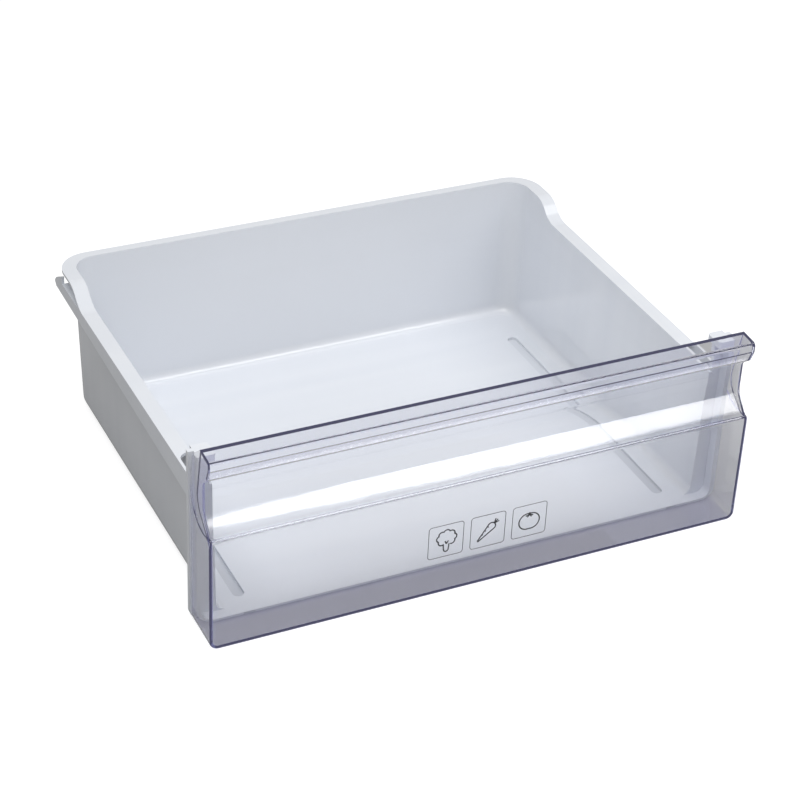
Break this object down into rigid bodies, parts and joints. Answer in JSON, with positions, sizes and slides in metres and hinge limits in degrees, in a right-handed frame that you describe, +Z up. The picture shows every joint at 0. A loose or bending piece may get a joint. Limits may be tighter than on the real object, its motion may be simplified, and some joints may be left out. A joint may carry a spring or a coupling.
{
  "type": "crisper drawer",
  "caption": "White moulded fridge drawer with a stepped rim and side runner skirts, and a clear front cover with a recessed finger grip that pulls off its collar.",
  "frame": {"origin": "under the middle of the drawer, level with the underside of the clear cover", "axes": "+X to the right seen from the front, +Y from the clear front to the back, +Z up"},
  "size_m": [0.463, 0.3796, 0.168],
  "materials": {
    "white_plastic": "smooth satin",
    "clear_plastic": "clear gloss"
  },
  "bodies": {
    "tub": {"tub": "white_plastic"},
    "front_cover": {"front_cover": "clear_plastic"}
  },
  "joints": [
    {"name": "cover_pull_off", "type": "slide", "parent": "tub", "child": "front_cover", "axis": [0, -1, 0], "range_m": [0, 0.045]}
  ]
}
